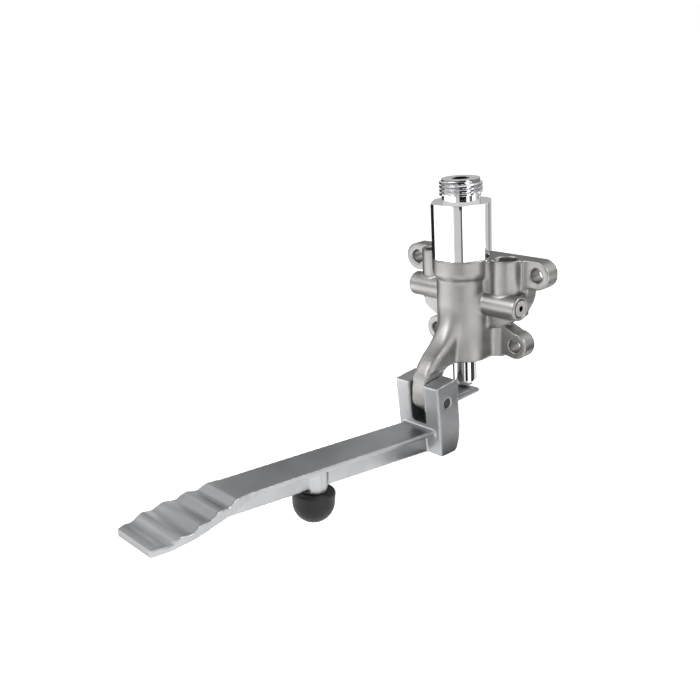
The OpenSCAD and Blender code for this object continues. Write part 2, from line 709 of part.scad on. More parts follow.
// Socket plug that closes one cross passage, its axis along X
module cross_plug(side) {
    outer_x = cross_span / 2;
    plug_d = cross_bore_d - 2 * seat;
    groove_x = outer_x - plug_l + plug_groove_w;
    groove_w = plug_groove_w + 2 * seat;
    scale([side, 1, 1]) translate([0, cross_y, passage_z(side)]) rotate([0, 90, 0]) difference() {
        union() {
            post(plug_d, outer_x - plug_l + seat, outer_x - mouth_chamfer);
            translate([0, 0, outer_x - mouth_chamfer - eps])
                cylinder(d1 = plug_d, d2 = plug_d - 2 * mouth_chamfer, h = mouth_chamfer + eps);
        }
        translate([0, 0, groove_x]) tube(cross_bore_d + 2, cross_bore_d - 2 * plug_groove_w - 4 * seat, 0, groove_w);
        translate([0, 0, outer_x - 2.6]) cylinder(d = plug_socket_af / cos(30), h = 4, $fn = 6);
    }
}

module plug_left() color("#9a9894") cross_plug(-1);
module plug_right() color("#9a9894") cross_plug(1);

module plug_o_rings() color("#1c1c1e")
    for (side = [-1, 1]) scale([side, 1, 1]) translate([0, cross_y, passage_z(side)]) rotate([0, 90, 0])
        translate([0, 0, cross_span / 2 - plug_l + 1.5 * plug_groove_w + seat])
            o_ring(cross_bore_d - 2 * plug_groove_w - 4 * seat, plug_groove_w);

module hinge_bush() color("#d9d6cc") translate([0, pin_y, pin_z]) rotate([0, 90, 0]) difference() {
    cylinder(d = bush_d, h = tongue_t, center = true);
    cylinder(d = pin_d + 2 * slip, h = wide, center = true);
}

module hinge_pin() color("#2c2c2e") translate([0, pin_y, pin_z]) rotate([0, 90, 0]) rotate_extrude() {
    half = block_w / 2 - pin_recess;
    polygon([[0, -half], [pin_d / 2 - 0.4, -half], [pin_d / 2, -half + 0.4], [pin_d / 2, half - 0.4],
        [pin_d / 2 - 0.4, half], [0, half]]);
}

// Side view of the cheeks, leaning back from the top, with rounded corners
module block_side() {
    lean = (block_above_pin + block_below_pin) * tan(block_lean);
    top_rise = (block_rear_y - block_front_y) * tan(block_lean);
    offset(r = 2.4, $fn = 40) offset(delta = -2.4)
        polygon([[block_front_y + lean, block_bottom_z], [block_front_y, block_top_z - top_rise * 0.5],
            [block_rear_y, block_top_z + top_rise * 0.5], [block_rear_y + 1.2, pin_z - 14.6],
            [block_rear_y + 0.4, pin_z - 21.5], [block_rear_y - 1.9, block_bottom_z - 0.4]]);
    polygon([[block_front_y + lean, block_bottom_z], [block_front_y, block_top_z - top_rise * 0.5],
        [block_front_y + 5, block_top_z - top_rise * 0.3], [block_front_y + 8, block_bottom_z - 0.3]]);
}

// Side view of the plate and the rippled tread
module plate_side() {
    samples = 44;
    top = [for (i = [0:samples]) let (y = crease_y - ripple_lead - (tread_l - ripple_lead) * i / samples) [y, tread_z(y)]];
    tip_z = tread_z(tread_tip_y) - tread_tip_t;
    polygon(concat([[arm_root_y + 3, plate_z(arm_root_y + 3)], [crease_y, crease_z]], top,
        [[tread_tip_y, tip_z], [crease_y - 14, tip_z + 1], [crease_y - 5, crease_z - 4.4],
        [crease_y + 3, plate_z(crease_y + 3) - plate_t], [arm_root_y + 3, plate_z(arm_root_y + 3) - plate_t]]));
}

// Plan of the plate and the tread, which flares and then rounds in to its tip
module plate_plan() {
    wide_y = tread_tip_y + tread_wide_at;
    narrow = (tread_w - tread_tip_w) / 2;
    end_r = (pow(tread_wide_at, 2) + pow(narrow, 2)) / (2 * narrow);
    intersection() {
        polygon([[arm_w / 2, arm_root_y + 5], [arm_w / 2, crease_y + 2], [arm_w / 2 + 0.7, crease_y - 3], [tread_w / 2, wide_y + 3],
            [tread_w / 2, tread_tip_y], [-tread_w / 2, tread_tip_y], [-tread_w / 2, wide_y + 3], [-arm_w / 2 - 0.7, crease_y - 3],
            [-arm_w / 2, crease_y + 2], [-arm_w / 2, arm_root_y + 5]]);
        union() {
            translate([-wide / 2, wide_y]) square([wide, wide]);
            intersection() {
                translate([tread_w / 2 - end_r, wide_y]) circle(end_r, $fn = 180);
                translate([end_r - tread_w / 2, wide_y]) circle(end_r, $fn = 180);
            }
        }
    }
}

// Side view of the web under the plate
module web_side() {
    end_y = crease_y - 6.5;
    polygon([[arm_root_y + 3, web_z(arm_root_y + 3)], [arm_root_y + 3, plate_z(arm_root_y + 3) - 1],
        [crease_y, plate_z(crease_y) - 1], [end_y - 7, crease_z - 3.5], [end_y - 5, web_z(end_y) + 3], [end_y, web_z(end_y)]]);
}

// Plan of the web, which thins towards the tread
module web_plan() {
    end_y = crease_y - 14;
    polygon([[-web_root_t / 2, arm_root_y + 3], [web_root_t / 2, arm_root_y + 3], [web_tip_t / 2, end_y], [-web_tip_t / 2, end_y]]);
}

// Tab that the block pushes against the pusher, its top in line with the pin
module tab() {
    rear_y = axis_y + tab_overrun;
    front_y = pin_y + tongue_r + tongue_clear;
    side_view(tab_w) polygon([[front_y, tab_line(front_y)], [rear_y - 0.4, tab_line(rear_y - 0.4)], [rear_y, tab_line(rear_y) - 0.4],
        [rear_y, pin_z - tab_bottom + 0.4], [rear_y - 0.4, pin_z - tab_bottom], [front_y, pin_z - tab_bottom]]);
}

// Slot between the cheeks that takes the body's tongue
module tongue_slot() {
    rear_y = pin_y + tongue_r + tongue_clear;
    floor_z = arm_root_z + 2.3;
    corner_r = 4;
    side_view(slot_w) {
        translate([rear_y - wide, floor_z + corner_r]) square(wide);
        translate([rear_y - wide, floor_z]) square([wide - corner_r, wide]);
        translate([rear_y - corner_r, floor_z + corner_r]) circle(corner_r);
        polygon([[rear_y - 1, tab_line(rear_y - 1)], [rear_y + wall_over, tab_line(rear_y + wall_over)],
            [rear_y + wall_over, block_top_z + wall_over], [rear_y - 1, block_top_z + wall_over]]);
    }
}

// Places its children on the bumper's axis, square to the arm, with zero at the post's foot
module at_bumper() translate([0, bumper_y, bumper_top_z]) rotate([-arm_rise, 0, 0]) children();

module pedal() color("#a3a5a6") difference() {
    post_l = plate_z(bumper_y) - plate_t / 2 - bumper_top_z;
    union() {
        difference() {
            side_view(block_w) block_side();
            tongue_slot();
        }
        tab();
        intersection() {
            side_view(tread_w + 2) plate_side();
            linear_extrude(wide, center = true) plate_plan();
        }
        intersection() {
            side_view(web_root_t + 1) web_side();
            linear_extrude(wide, center = true) web_plan();
        }
        side_view(arm_w + 1) translate([arm_root_y + 0.45, arm_root_z - 0.2]) scale([-1, 1]) corner_fillet(1.5);
        at_bumper() post(post_d, 0, post_l);
    }
    translate([0, pin_y, pin_z]) rotate([0, 90, 0]) cylinder(d = pin_d + 2 * seat, h = wide, center = true);
    at_bumper() post(stud_d + 2 * seat, -1, stud_l + 0.5);
}

// Stud of the bumper: a disc moulded into the rubber and a threaded shank
module stud_shape(play) {
    post(stud_d + 2 * play, dome_z, stud_l);
    post(2.2 * stud_d + 2 * play, dome_z - 0.2 * stud_d - play, dome_z + 0.2 * stud_d + play);
}

module bumper() color("#2b2b2d") at_bumper() difference() {
    translate([0, 0, dome_z]) rotate_extrude() {
        intersection() {
            circle(bumper_r);
            translate([0, -bumper_r]) square([bumper_r, bumper_r + eps]);
        }
        polygon([[0, 0], [bumper_r, 0], [bumper_r + 0.2, bumper_rim_h - 0.8], [bumper_r - 0.3, bumper_rim_h], [0, bumper_rim_h]]);
    }
    stud_shape(seat);
}

module bumper_stud() color("#8f9193") at_bumper() stud_shape(0);

valve_body();
outlet_barrel();
barrel_o_ring();
seat_ring();
seat_gasket();
valve_stem();
valve_washer();
washer_nut();
return_spring();
stem_gland();
stem_o_rings();
gland_o_ring();
guide_bush();
pusher();
pusher_wiper();
check_housing_left();
check_housing_right();
check_poppet_left();
check_poppet_right();
check_spring_left();
check_spring_right();
inlet_strainers();
plug_left();
plug_right();
plug_o_rings();
hinge_bush();
hinge_pin();
pedal();
bumper();
bumper_stud();
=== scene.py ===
# Foot pedal tap valve: looks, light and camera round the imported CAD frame.
# Metres; +X sideways, +Y into the wall and +Z up, the axes of the part's source.
import bpy
import numpy as np
from math import radians, sin, cos, tan, tau
from mathutils import Matrix, Vector


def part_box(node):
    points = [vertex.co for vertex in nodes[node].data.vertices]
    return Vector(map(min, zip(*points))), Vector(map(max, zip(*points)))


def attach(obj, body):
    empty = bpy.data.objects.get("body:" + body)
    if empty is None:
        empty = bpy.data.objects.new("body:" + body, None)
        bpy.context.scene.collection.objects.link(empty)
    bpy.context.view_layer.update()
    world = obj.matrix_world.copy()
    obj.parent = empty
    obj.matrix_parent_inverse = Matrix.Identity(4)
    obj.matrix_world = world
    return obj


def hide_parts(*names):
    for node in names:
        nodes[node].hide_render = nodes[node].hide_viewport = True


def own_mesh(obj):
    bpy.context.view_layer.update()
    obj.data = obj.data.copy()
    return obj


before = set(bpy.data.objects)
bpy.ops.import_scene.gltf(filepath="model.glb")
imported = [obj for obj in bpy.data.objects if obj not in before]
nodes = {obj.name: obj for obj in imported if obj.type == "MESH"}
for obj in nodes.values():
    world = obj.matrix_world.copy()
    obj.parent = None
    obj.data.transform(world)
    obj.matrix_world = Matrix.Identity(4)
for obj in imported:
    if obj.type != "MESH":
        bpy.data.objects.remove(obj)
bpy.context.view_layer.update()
mm = 0.001
weldGap = 0.01 * mm  # vertices that are closer than this are one
valveAxis = (0, -16 * mm)  # x and y of the barrel, the stem and the pusher
print("frame loaded:", len(nodes), "CAD nodes")


def pick(obj):
    # makes one object the only selected and active one
    bpy.ops.object.select_all(action="DESELECT")
    obj.select_set(True)
    bpy.context.view_layer.objects.active = obj


def addShape(operator, **settings):
    # runs one of Blender's own operators that add a shape, and returns the shape
    bpy.ops.object.select_all(action="DESELECT")
    operator(**settings)
    return bpy.context.object


def applyModifier(obj, kind, **settings):
    pick(obj)
    modifier = obj.modifiers.new(kind.title(), kind)
    for name, value in settings.items():
        setattr(modifier, name, value)
    bpy.ops.object.modifier_apply(modifier=modifier.name)


def openEdit(obj, mode="VERT"):
    pick(obj)
    bpy.ops.object.mode_set(mode="EDIT")
    bpy.ops.mesh.select_mode(type=mode)
    bpy.ops.mesh.select_all(action="SELECT")


def closeEdit():
    bpy.ops.object.mode_set(mode="OBJECT")


def weldedCopy(node, name):
    # a copy of a CAD node's mesh with its loose triangles joined
    copy = bpy.data.objects.new(name, nodes[node].data.copy())
    bpy.context.scene.collection.objects.link(copy)
    copy.data.materials.clear()
    openEdit(copy)
    bpy.ops.mesh.remove_doubles(threshold=weldGap)
    bpy.ops.mesh.customdata_custom_splitnormals_clear()
    closeEdit()
    return copy


def settle(obj):
    # puts the object's place into its mesh
    pick(obj)
    bpy.ops.object.transform_apply(location=True, rotation=True, scale=True)


def smoothByAngle(obj, degrees):
    pick(obj)
    bpy.ops.object.shade_smooth_by_angle(angle=radians(degrees))


def dress(obj, material):
    obj.data.materials.clear()
    obj.data.materials.append(material)


# smoothing of the castings: how deep a corner counts as hollow, how strongly it spreads to its
# neighbours, the least weight that is kept, the share of each pass and the weight of the open skin
smoothing = {
    "hollowDepth": 0.012 * mm, "spread": 1.6, "leastWeight": 0.02, "factor": 0.5, "skinWeight": 0.8,
}


def hollowWeights(obj, rings):
    # how far each vertex lies in a concave corner, spread over a few rings of neighbours
    mesh = obj.data
    count = len(mesh.vertices)
    places = np.empty(count * 3)
    mesh.vertices.foreach_get("co", places)
    places = places.reshape(-1, 3)
    normals = np.empty(count * 3)
    mesh.vertices.foreach_get("normal", normals)
    normals = normals.reshape(-1, 3)
    edges = np.empty(len(mesh.edges) * 2, int)
    mesh.edges.foreach_get("vertices", edges)
    a, b = edges.reshape(-1, 2).T
    links = np.bincount(a, minlength=count) + np.bincount(b, minlength=count)

    def around(values):
        # the mean over each vertex's neighbours
        total = np.zeros_like(values)
        for column in range(values.shape[1]):
            total[:, column] = (np.bincount(a, values[b, column], count)
                                + np.bincount(b, values[a, column], count))
        return total / links[:, None]

    lean = ((around(places) - places) * normals).sum(1)
    hollow = (lean > smoothing["hollowDepth"]).astype(float)[:, None]
    for ring in range(rings):
        hollow = np.maximum(hollow, around(hollow) * smoothing["spread"]).clip(0, 1)
    return places, hollow[:, 0]


def smoothPart(obj, weights, passes):
    # smooths the surface where the weights are high
    group = obj.vertex_groups.new(name="soft")
    for index in np.flatnonzero(weights > smoothing["leastWeight"]):
        group.add([int(index)], float(weights[index]), "REPLACE")
    applyModifier(obj, "SMOOTH", factor=smoothing["factor"], iterations=passes, vertex_group="soft")
    obj.vertex_groups.clear()


def inBox(places, low, high):
    # which of the places lie between two corners, on either side of the middle plane
    mirrored = places.copy()
    mirrored[:, 0] = np.abs(mirrored[:, 0])
    return ((mirrored > low) & (mirrored < high)).all(axis=1)


# the noise patterns of the materials: the part of their range that is used, their detail,
# and how much finer the sheen's pattern is than the clouds'
pattern = {
    "span": (0.3, 0.7), "cloudDetail": 3.0, "sheenDetail": 2.0, "metalGrainDetail": 3.0,
    "skinGrainDetail": 2.0, "metalSheen": 2.3, "skinSheen": 3,
}


def grey(tone):
    return (tone, tone, tone, 1)


def startMaterial(name, roughness, metallic=0.0):
    material = bpy.data.materials.new(name)
    material.use_nodes = True
    tree = material.node_tree
    shader = tree.nodes["Principled BSDF"]
    shader.inputs["Roughness"].default_value = roughness
    shader.inputs["Metallic"].default_value = metallic
    place = tree.nodes.new("ShaderNodeTexCoord")
    return material, tree, shader, place.outputs["Object"]


def noiseNode(tree, place, scale, detail, stretch=None):
    # cloudy pattern, its scale in waves per metre, stretched along one axis where asked
    if stretch:
        mapping = tree.nodes.new("ShaderNodeMapping")
        mapping.inputs["Scale"].default_value = stretch
        tree.links.new(place, mapping.inputs["Vector"])
        place = mapping.outputs["Vector"]
    noise = tree.nodes.new("ShaderNodeTexNoise")
    noise.inputs["Scale"].default_value = scale
    noise.inputs["Detail"].default_value = detail
    tree.links.new(place, noise.inputs["Vector"])
    return noise.outputs["Fac"]


def rampNode(tree, factor, low, high):
    # colours between two tones
    ramp = tree.nodes.new("ShaderNodeValToRGB")
    for element, position, tone in zip(ramp.color_ramp.elements, pattern["span"], (low, high)):
        element.position = position
        element.color = (*tone, 1)
    tree.links.new(factor, ramp.inputs["Fac"])
    return ramp.outputs["Color"]


def rangeNode(tree, factor, low, high):
    # values between two ends
    span = tree.nodes.new("ShaderNodeMapRange")
    span.inputs["From Min"].default_value, span.inputs["From Max"].default_value = pattern["span"]
    span.inputs["To Min"].default_value = low
    span.inputs["To Max"].default_value = high
    tree.links.new(factor, span.inputs["Value"])
    return span.outputs["Result"]


def mathNode(tree, operation, first, second):
    # works on one socket with a number or with another socket
    node = tree.nodes.new("ShaderNodeMath")
    node.operation = operation
    tree.links.new(first, node.inputs[0])
    if isinstance(second, float):
        node.inputs[1].default_value = second
    else:
        tree.links.new(second, node.inputs[1])
    return node.outputs[0]


def vectorNode(tree, operation, first, second=None):
    node = tree.nodes.new("ShaderNodeVectorMath")
    node.operation = operation
    tree.links.new(first, node.inputs[0])
    if second:
        node.inputs[1].default_value = second
    return node.outputs["Value" if operation == "LENGTH" else "Vector"]


def bumpNode(tree, shader, height, depth):
    bump = tree.nodes.new("ShaderNodeBump")
    bump.inputs["Distance"].default_value = depth
    bump.inputs["Strength"].default_value = 1.0
    tree.links.new(height, bump.inputs["Height"])
    tree.links.new(bump.outputs["Normal"], shader.inputs["Normal"])


# tones of the painted shade in a socket and in the gap round a plug, where the face starts to darken with
# painted shade and where it is as dark as the gap, as shares of the rim, and half the width over which the
# socket's edge fades
paintedRecessShadeTones = {"socket": 0.03, "gap": 0.06, "gapFrom": 0.90, "gapTo": 0.95, "blur": 0.12 * mm}


def paintRecessShade(tree, place, colour, centre, across, socket, rim):
    # paints shade round one axis into the colour: painted shade in the socket, the face's colour kept,
    # painted shade in the gap round it; across is 0 along the axis and 1 the other two ways
    offset = vectorNode(tree, "SUBTRACT", place, centre)
    reach = vectorNode(tree, "LENGTH", vectorNode(tree, "MULTIPLY", offset, across))
    share = mathNode(tree, "DIVIDE", reach, rim)
    rings = tree.nodes.new("ShaderNodeValToRGB")
    blur = paintedRecessShadeTones["blur"] / rim
    inner, outer = rings.color_ramp.elements
    inner.position, inner.color = socket / rim - blur, grey(paintedRecessShadeTones["socket"])
    outer.position, outer.color = socket / rim + blur, grey(1)
    rings.color_ramp.elements.new(paintedRecessShadeTones["gapFrom"]).color = grey(1)
    rings.color_ramp.elements.new(paintedRecessShadeTones["gapTo"]).color = grey(paintedRecessShadeTones["gap"])
    tree.links.new(share, rings.inputs["Fac"])
    mix = tree.nodes.new("ShaderNodeMix")
    mix.data_type, mix.blend_type = "RGBA", "MULTIPLY"
    mix.inputs["Factor"].default_value = 1
    tree.links.new(colour, mix.inputs["A"])
    tree.links.new(rings.outputs["Color"], mix.inputs["B"])
    return mix.outputs["Result"]


def grainedMetal(name, look):
    # metal with cloudy tone, uneven sheen and a fine grain, and painted shade in a recess where the look
    # asks for it
    material, tree, shader, place = startMaterial(name, look["rough"][0], look.get("metallic", 1.0))
    clouds = noiseNode(tree, place, look["clouds"], pattern["cloudDetail"])
    colour = rampNode(tree, clouds, look["low"], look["high"])
    # painted shade in a socket, a bore or the gap round a plug
    if "paintedRecess" in look:
        colour = paintRecessShade(tree, place, colour, **look["paintedRecess"])
    shader.inputs["Specular Tint"].default_value = grey(look.get("edge", 1.0))
    tree.links.new(colour, shader.inputs["Base Color"])
    sheen = noiseNode(tree, place, look["clouds"] * pattern["metalSheen"], pattern["sheenDetail"])
    tree.links.new(rangeNode(tree, sheen, *look["rough"]), shader.inputs["Roughness"])
    grain = noiseNode(tree, place, look["grain"], pattern["metalGrainDetail"], look.get("stretch"))
    bumpNode(tree, shader, grain, look["grainDepth"])
    return material


# low and high: the two tones of the clouds; rough: least and most roughness;
# edge: brightness at a grazing angle; clouds and grain: waves per metre
metals = {
    "bodyCastMetal": dict(
        edge=0.45, low=(0.33, 0.325, 0.317), high=(0.40, 0.394, 0.384), rough=(0.34, 0.41),
        clouds=70, grain=2600, grainDepth=0.02 * mm),
    "pedalCastMetal": dict(
        edge=0.45, low=(0.41, 0.418, 0.427), high=(0.47, 0.478, 0.486), rough=(0.32, 0.40),
        clouds=60, grain=2600, grainDepth=0.02 * mm),
    "chromePlate": dict(
        edge=0.75, low=(0.88, 0.885, 0.90), high=(0.93, 0.93, 0.94), rough=(0.05, 0.08),
        clouds=90, grain=900, grainDepth=0.001 * mm),
    # painted shade darkens the bore; the rim lies outside the barrel, so that only the bore is dark
    "chromeWithPaintedBoreShade": dict(
        edge=0.75, low=(0.86, 0.862, 0.87), high=(0.91, 0.91, 0.915), rough=(0.05, 0.08),
        clouds=90, grain=900, grainDepth=0.001 * mm,
        paintedRecess=dict(centre=(*valveAxis, 0), across=(1, 1, 0), socket=4.3 * mm, rim=60 * mm)),
    "turnedBrass": dict(
        low=(0.64, 0.47, 0.20), high=(0.78, 0.60, 0.30), rough=(0.22, 0.34),
        clouds=120, grain=3000, grainDepth=0.006 * mm, stretch=(1, 1, 8)),
    "drawnSteel": dict(
        low=(0.58, 0.58, 0.59), high=(0.72, 0.72, 0.73), rough=(0.24, 0.36),
        clouds=150, grain=3200, grainDepth=0.006 * mm),
    "blackenedPin": dict(
        low=(0.030, 0.030, 0.033), high=(0.075, 0.075, 0.08), rough=(0.35, 0.5), metallic=0.6,
        clouds=260, grain=2400, grainDepth=0.01 * mm),
}
for side in ("left", "right"):
    # each plug's own steel, with painted shade in its socket and in the gap round it, centred on the plug's
    # axis
    low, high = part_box("plug_" + side)
    middle = tuple((a + b) / 2 for a, b in zip(low, high))
    metals[side + "PlugSteelPaintedShade"] = dict(
        low=(0.55, 0.54, 0.52), high=(0.66, 0.65, 0.63), rough=(0.30, 0.42),
        clouds=200, grain=2400, grainDepth=0.01 * mm,
        paintedRecess=dict(centre=middle, across=(0, 1, 1), socket=1.42 * mm, rim=(high[1] - low[1]) / 2))
finish = {name: grainedMetal(name, look) for name, look in metals.items()}


def mouldedSkin(name, look):
    # rubber, plastic or fibre: an even tone with slight clouds and a fine skin
    material, tree, shader, place = startMaterial(name, look["rough"][0])
    shader.inputs["Specular IOR Level"].default_value = look["specular"]
    clouds = noiseNode(tree, place, look["clouds"], pattern["cloudDetail"])
    tree.links.new(rampNode(tree, clouds, look["low"], look["high"]), shader.inputs["Base Color"])
    sheen = noiseNode(tree, place, look["clouds"] * pattern["skinSheen"], pattern["sheenDetail"])
    tree.links.new(rangeNode(tree, sheen, *look["rough"]), shader.inputs["Roughness"])
    grain = noiseNode(tree, place, look["grain"], pattern["skinGrainDetail"])
    bumpNode(tree, shader, grain, look["grainDepth"])
    return material


skins = {
    "domeRubber": dict(
        low=(0.010, 0.010, 0.0105), high=(0.018, 0.018, 0.0185), rough=(0.46, 0.56),
        specular=0.35, clouds=120, grain=3000, grainDepth=0.01 * mm),
    "sealRubber": dict(
        low=(0.014, 0.014, 0.015), high=(0.026, 0.026, 0.027), rough=(0.38, 0.5),
        specular=0.5, clouds=200, grain=3000, grainDepth=0.006 * mm),
    "mouldedPlastic": dict(
        low=(0.74, 0.72, 0.67), high=(0.82, 0.80, 0.75), rough=(0.38, 0.48),
        specular=0.5, clouds=150, grain=2500, grainDepth=0.006 * mm),
    "pressedFibre": dict(
        low=(0.28, 0.10, 0.05), high=(0.42, 0.17, 0.09), rough=(0.7, 0.85),
        specular=0.3, clouds=500, grain=2200, grainDepth=0.03 * mm),
}
finish.update({name: mouldedSkin(name, look) for name, look in skins.items()})
nodeFinish = {
    "chromePlate": ["pusher"],
    # the barrel's chrome has painted shade in its bore
    "chromeWithPaintedBoreShade": ["outlet_barrel"],
    "turnedBrass": ["seat_ring", "washer_nut", "stem_gland", "guide_bush"],
    "drawnSteel": ["valve_stem", "return_spring", "check_spring_left", "check_spring_right",
                   "inlet_strainers", "bumper_stud"],
    # the plugs' steel has painted shade in the socket and in the gap round each plug
    "leftPlugSteelPaintedShade": ["plug_left"],
    "rightPlugSteelPaintedShade": ["plug_right"],
    "blackenedPin": ["hinge_pin"],
    "domeRubber": ["bumper"],
    "sealRubber": ["barrel_o_ring", "valve_washer", "stem_o_rings", "gland_o_ring",
                   "pusher_wiper", "plug_o_rings"],
    "mouldedPlastic": ["check_housing_left", "check_housing_right", "check_poppet_left",
                       "check_poppet_right", "hinge_bush"],
    "pressedFibre": ["seat_gasket"],
    "bodyCastMetal": ["valve_body"],
    "pedalCastMetal": ["pedal"],
}
nodeSmoothAngle = 28
for material, names in nodeFinish.items():
    for name in names:
        dress(nodes[name], finish[material])
        smoothByAngle(nodes[name], nodeSmoothAngle)
print("materials:", len(finish))

# the body's casting; the places with a left and a right are given for the right side
bodyCast = {
    "voxel": 0.45 * mm, "filletRings": 7, "filletPasses": 26, "skinPasses": 5, "smoothAngle": 40,
    # metal that the mould leaves between the collar and each inlet
    "filler": ((13 * mm, -15.9 * mm, -9.5 * mm), (17.5 * mm, -9 * mm, 5.9 * mm)),
    # the corner between the column's foot and each lower ear, and its own passes
    "corner": ((12.5 * mm, -20 * mm, -36 * mm), (18.5 * mm, -9 * mm, -24.8 * mm)), "cornerPasses": 40,
    # what a cutter has been over: the wall face, the collar's top apart from the inlets' rims,
    # the chamber, the inlets' bores and the ends of the cross bosses
    "wallFace": -0.7 * mm, "collarTop": 6.2 * mm, "collarReach": 15 * mm, "inletRim": 7.6 * mm,
    "chamber": 11.6 * mm, "chamberTop": 7.2 * mm, "inlet": (22 * mm, -9.9 * mm), "inletBore": 6.4 * mm,
    "bossEnd": 32.9 * mm, "bossTop": -8 * mm,
}
# the arm's root: its heights, the column's radius at its foot and how much that shrinks upwards,
# the two arcs of the arm's front as centre y, centre z and radius, and the height where they meet
armRoot = {
    "low": -44.5 * mm, "high": -14.0 * mm, "foot": 13.5 * mm, "slope": 0.0164, "inset": 0.1 * mm,
    "hollow": (-56.5 * mm, -14.0 * mm, 27 * mm), "nose": (-29.6 * mm, -54.97 * mm, 22 * mm),
    "join": -36.5 * mm, "halfWidth": 5.4 * mm, "valley": 4 * mm, "leastValley": 0.01 * mm,
    # how blunt the front is: the oval's power at the top, what the underside adds, and its fade;
    # below the least cosine of its angle, a direction isn't ahead and keeps the column's radius
    "oval": 2, "blunt": 7, "bluntFade": 2.5, "leastAhead": 0.01, "rows": 18, "sides": 144,
}
# the plain ridge of the CAD that makes room for the root: half its width, its front, how far the
# cut goes past the root's top, and the heights between which the column is kept
plainRidge = {
    "halfWidth": 11.8 * mm, "front": -56 * mm, "over": 2 * mm, "columnLow": -46 * mm, "columnHigh": -11 * mm,
}
drumSides = 128


def columnRadius(height):
    return armRoot["foot"] - armRoot["slope"] * (height - armRoot["low"])


def armReach(height):
    # distance from the valve axis to the arm's front
    y, z, r = armRoot["nose"] if height < armRoot["join"] else armRoot["hollow"]
    along = (r * r - (height - z) ** 2) ** 0.5
    return valveAxis[1] - (y - along if height < armRoot["join"] else y + along)


def rootRadius(share, angle):
    # a blunt oval at the underside that widens to the column's circle at the top;
    # share is 0 at the underside and 1 at the top, and the angle is 0 straight ahead
    low, high = armRoot["low"], armRoot["high"]
    share = min(max(share, 0), 1)
    height = low + share * (high - low)
    column = columnRadius(height) - armRoot["inset"]
    ahead = cos(angle)
    if ahead <= armRoot["leastAhead"]:
        return column
    front = armReach(height) - share * (armReach(high) - column)
    half = armRoot["halfWidth"] + (column - armRoot["halfWidth"]) * share ** 2
    power = armRoot["oval"] + armRoot["blunt"] * (1 - share) ** armRoot["bluntFade"]
    oval = ((ahead / front) ** power + (abs(sin(angle)) / half) ** power) ** (-1 / power)
    blend = armRoot["valley"] * (1 - share) + armRoot["leastValley"]
    return max(oval, column) + max(blend - abs(oval - column), 0) ** 2 / (4 * blend)


def sweepRoot():
    # the arm's root as the mould forms it, a full solid: the column's round front bends forwards
    # and narrows
    low, rise = armRoot["low"], armRoot["high"] - armRoot["low"]
    root = addShape(bpy.ops.mesh.primitive_circle_add, vertices=armRoot["sides"], radius=armRoot["foot"],
                    fill_type="NGON", location=(*valveAxis, low))
    settle(root)
    openEdit(root, "FACE")
    for row in range(armRoot["rows"]):
        bpy.ops.mesh.extrude_region_move(TRANSFORM_OT_translate={"value": (0, 0, rise / armRoot["rows"])})
    bpy.ops.mesh.select_all(action="SELECT")
    bpy.ops.mesh.normals_make_consistent(inside=False)
    closeEdit()
    for vertex in root.data.vertices:
        angle = float(np.arctan2(vertex.co.x, valveAxis[1] - vertex.co.y))
        radius = rootRadius((vertex.co.z - low) / rise, angle)
        vertex.co.x, vertex.co.y = radius * sin(angle), valveAxis[1] - radius * cos(angle)
    return root


def drum(low, high, radius, topRadius=None):
    # a round tool on the valve's axis, straight or tapered
    tool = addShape(bpy.ops.mesh.primitive_cone_add, vertices=drumSides, radius1=radius,
                    radius2=radius if topRadius is None else topRadius, depth=high - low,
                    location=(*valveAxis, (low + high) / 2))
    settle(tool)
    return tool


def block(low, high):
    # a box between two corners
    box = addShape(bpy.ops.mesh.primitive_cube_add, size=1,
                   location=[(a + b) / 2 for a, b in zip(low, high)])
    box.scale = [b - a for a, b in zip(low, high)]
    settle(box)
    return box


def trim(obj, tool, operation="DIFFERENCE"):
    applyModifier(obj, "BOOLEAN", object=tool, operation=operation, solver="EXACT")
    bpy.data.objects.remove(tool, do_unlink=True)


def clearRoot(body):
    # takes the plain ridge off the front of the column, to make room for the swept root
    half, low, high = plainRidge["halfWidth"], plainRidge["columnLow"], plainRidge["columnHigh"]
    front = block((-half, plainRidge["front"], armRoot["low"]),
                  (half, valveAxis[1], armRoot["high"] + plainRidge["over"]))
    trim(front, drum(low, high, columnRadius(low), columnRadius(high)))
    trim(body, front)


def fillCorners():
    # the metal between the collar and each inlet
    inner, outer = bodyCast["filler"]
    blocks = []
    for side in (-1, 1):
        low, high = sorted((side * inner[0], side * outer[0]))
        blocks.append(block((low, *inner[1:]), (high, *outer[1:])))
    return blocks


def cutFaces(places):
    # which vertices of the body lie on faces and bores that a cutter has been over
    x, y, z = places.T
    x = np.abs(x)
    fromAxis = np.hypot(x - valveAxis[0], y - valveAxis[1])
    fromInlet = np.hypot(x - bodyCast["inlet"][0], y - bodyCast["inlet"][1])
    besideRim = (fromInlet > bodyCast["inletRim"]) & (x < bodyCast["collarReach"])
    cut = (y > bodyCast["wallFace"]) | ((z > bodyCast["collarTop"]) & besideRim)
    cut |= (fromAxis < bodyCast["chamber"]) & (z < bodyCast["chamberTop"])
    cut |= fromInlet < bodyCast["inletBore"]
    cut |= (x > bodyCast["bossEnd"]) & (z < bodyCast["bossTop"])
    return cut


